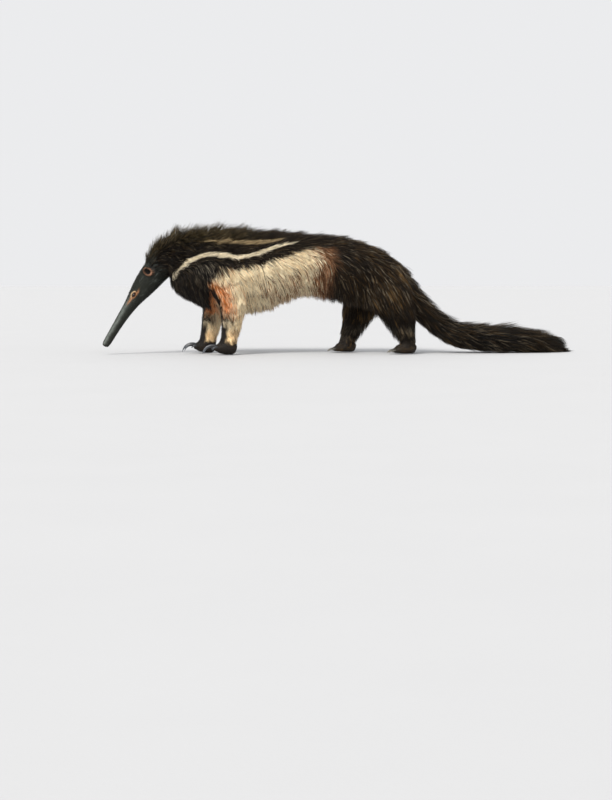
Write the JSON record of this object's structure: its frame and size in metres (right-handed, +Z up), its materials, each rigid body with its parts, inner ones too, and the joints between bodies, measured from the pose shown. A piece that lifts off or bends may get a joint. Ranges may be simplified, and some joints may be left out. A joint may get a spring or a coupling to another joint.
{
  "type": "giant anteater",
  "caption": "Life-size giant anteater model: lowered tubular snout, maned neck and back, long-haired flanks, curved fore claws and a bushy tail laid on the floor.",
  "frame": {"origin": "on the floor, under the middle of the animal's bounding box", "axes": "-X towards the nose, +X towards the tail's end, -Y to the animal's left side, +Z up"},
  "size_m": [1.8788, 0.327, 0.5056],
  "materials": {
    "coat_dark": "coarse dark brown hair in long locks",
    "coat_pale": "cream hair with rust and brown streaks",
    "head_skin": "short dense greenish black fur",
    "ear_skin": "thin tan skin with short hair",
    "eye": "wet and dark",
    "claw": "polished dark horn"
  },
  "bodies": {
    "root": {"claw_foreleg_left_1": "claw", "claw_foreleg_left_2": "claw", "claw_foreleg_left_3": "claw", "claw_foreleg_left_4": "claw", "claw_foreleg_right_1": "claw", "claw_foreleg_right_2": "claw", "claw_foreleg_right_3": "claw", "claw_foreleg_right_4": "claw", "claw_hindleg_left_1": "claw", "claw_hindleg_left_2": "claw", "claw_hindleg_left_3": "claw", "claw_hindleg_left_4": "claw", "claw_hindleg_left_5": "claw", "claw_hindleg_right_1": "claw", "claw_hindleg_right_2": "claw", "claw_hindleg_right_3": "claw", "claw_hindleg_right_4": "claw", "claw_hindleg_right_5": "claw", "ear_left": "ear_skin", "ear_right": "ear_skin", "eye_left": "eye", "eye_right": "eye", "foreleg_left": "coat_pale", "foreleg_right": "coat_pale", "head": "head_skin", "hindleg_left": "coat_dark", "hindleg_right": "coat_dark", "neck": "coat_dark", "tail_base": "coat_dark", "tail_end": "coat_dark", "tail_middle": "coat_dark", "torso_front": "coat_dark", "torso_rear": "coat_dark"}
  },
  "joints": []
}
